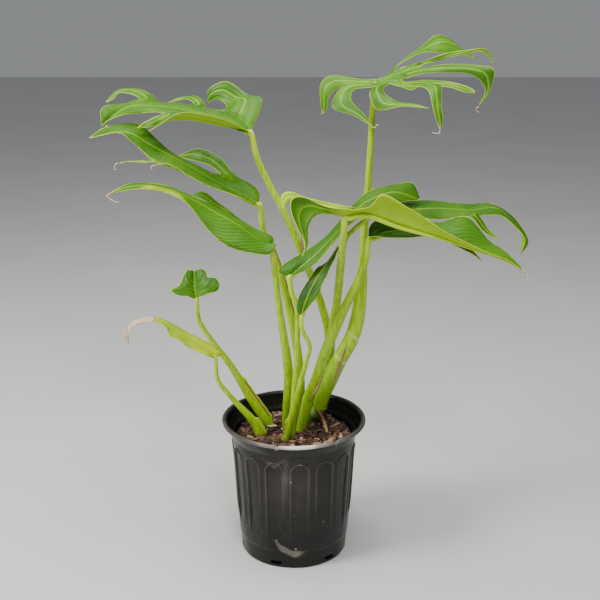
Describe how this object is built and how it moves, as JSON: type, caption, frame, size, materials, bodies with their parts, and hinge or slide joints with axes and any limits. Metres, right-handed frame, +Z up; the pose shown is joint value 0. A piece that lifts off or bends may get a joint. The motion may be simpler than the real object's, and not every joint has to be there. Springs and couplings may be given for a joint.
{
  "type": "potted monstera plant",
  "caption": "Finger-lobed monstera in a tapered black nursery pot: long green petioles rise from bark mix to drooping, deeply split leaves.",
  "frame": {"origin": "middle of the pot's flat base, where it stands", "axes": "+Z up along the pot's axis, +X towards the longest leaves, -Y the side with the low dent in the pot"},
  "size_m": [0.6131, 0.2148, 0.7602],
  "materials": {
    "pot_plastic": "moulded black plastic, semi-gloss, scuffed",
    "potting_mix": "moist coarse bark and coir mix",
    "bark": "broken bark chips",
    "leaf": "waxy green leaf with pale veins and margin",
    "petiole": "smooth waxy yellow-green stalk",
    "rootstock": "green-grey stem with leaf scars",
    "root": "dry brown root skin",
    "dry_sheath": "papery dried sheath"
  },
  "bodies": {
    "root": {"nursery_pot": "pot_plastic", "potting_mix": "potting_mix", "bark_chip_1": "bark", "bark_chip_2": "bark", "bark_chip_3": "bark", "bark_chip_4": "bark", "bark_chip_5": "bark", "bark_chip_6": "bark", "bark_chip_7": "bark", "bark_chip_8": "bark", "rootstock": "rootstock", "aerial_root": "root", "petiole_top_left": "petiole", "blade_top_left": "leaf", "petiole_mid_left": "petiole", "blade_mid_left": "leaf", "petiole_low_left": "petiole", "blade_low_left": "leaf", "petiole_small_fan": "petiole", "blade_small_fan": "leaf", "petiole_yellowing": "petiole", "blade_yellowing": "leaf", "petiole_top_right": "petiole", "blade_top_right": "leaf", "petiole_centre_right": "petiole", "blade_centre_right": "leaf", "petiole_right": "petiole", "blade_right": "leaf", "petiole_centre_long": "petiole", "blade_centre_long": "leaf", "petiole_centre_small": "petiole", "blade_centre_small": "leaf", "petiole_front": "petiole", "blade_front": "leaf", "dry_sheath_left": "dry_sheath", "dry_sheath_right": "dry_sheath", "dry_sheath_low": "dry_sheath"}
  },
  "joints": []
}
